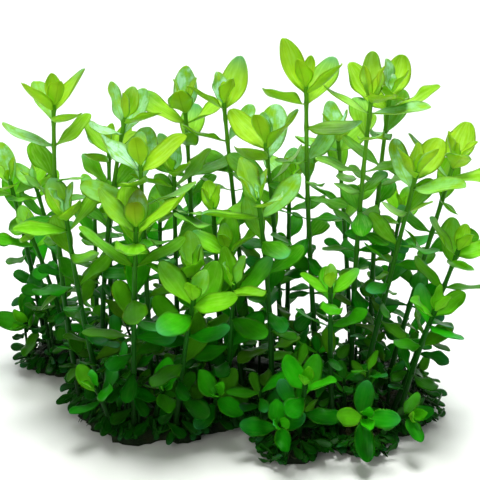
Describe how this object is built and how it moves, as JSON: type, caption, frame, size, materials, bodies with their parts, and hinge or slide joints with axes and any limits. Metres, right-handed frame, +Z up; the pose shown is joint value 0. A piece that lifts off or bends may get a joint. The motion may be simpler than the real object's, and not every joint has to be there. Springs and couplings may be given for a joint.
{
  "type": "lemon bacopa plant",
  "caption": "Stand of upright water plant shoots with opposite oval leaves in crossed pairs, rising from a low root mat with a flat underside to rest on.",
  "frame": {"origin": "on the flat underside of the root mat, at the middle of its width", "axes": "+Z up along the shoots, +X to the right along the stand's width, -Y to its front"},
  "size_m": [0.3278, 0.1844, 0.2321],
  "materials": {
    "shoot": "satin",
    "root_mat": "matte"
  },
  "bodies": {
    "root": {"root_mat": "root_mat", "shoot_left_tall": "shoot", "shoot_left_second": "shoot", "shoot_left_inner": "shoot", "shoot_back_left": "shoot", "shoot_back_centre": "shoot", "shoot_centre_back": "shoot", "shoot_centre_front": "shoot", "shoot_right_tall": "shoot", "shoot_right_pair_front": "shoot", "shoot_right_pair_back": "shoot", "shoot_right_back": "shoot", "shoot_right_leaning": "shoot", "shoot_far_right_top": "shoot", "shoot_far_right_low": "shoot", "shoot_far_right_front": "shoot", "shoot_left_edge": "shoot", "shoot_left_sprawl": "shoot", "shoot_left_small_high": "shoot", "shoot_left_front": "shoot", "shoot_left_small_low": "shoot", "shoot_front_left_main": "shoot", "shoot_centre_small_high": "shoot", "shoot_centre_small_mid": "shoot", "shoot_centre_small_low": "shoot", "shoot_front_bright_left": "shoot", "shoot_front_bright_mid": "shoot", "shoot_right_front_mid": "shoot", "shoot_front_right_a": "shoot", "shoot_front_right_b": "shoot", "shoot_front_right_c": "shoot", "shoot_front_right_low": "shoot", "shoot_front_left_low_a": "shoot", "shoot_front_left_low_b": "shoot", "shoot_front_left_low_c": "shoot", "shoot_back_left_small": "shoot", "shoot_mid_left_small": "shoot", "shoot_back_a": "shoot", "shoot_back_b": "shoot", "shoot_back_c": "shoot", "shoot_back_e": "shoot"}
  },
  "joints": []
}
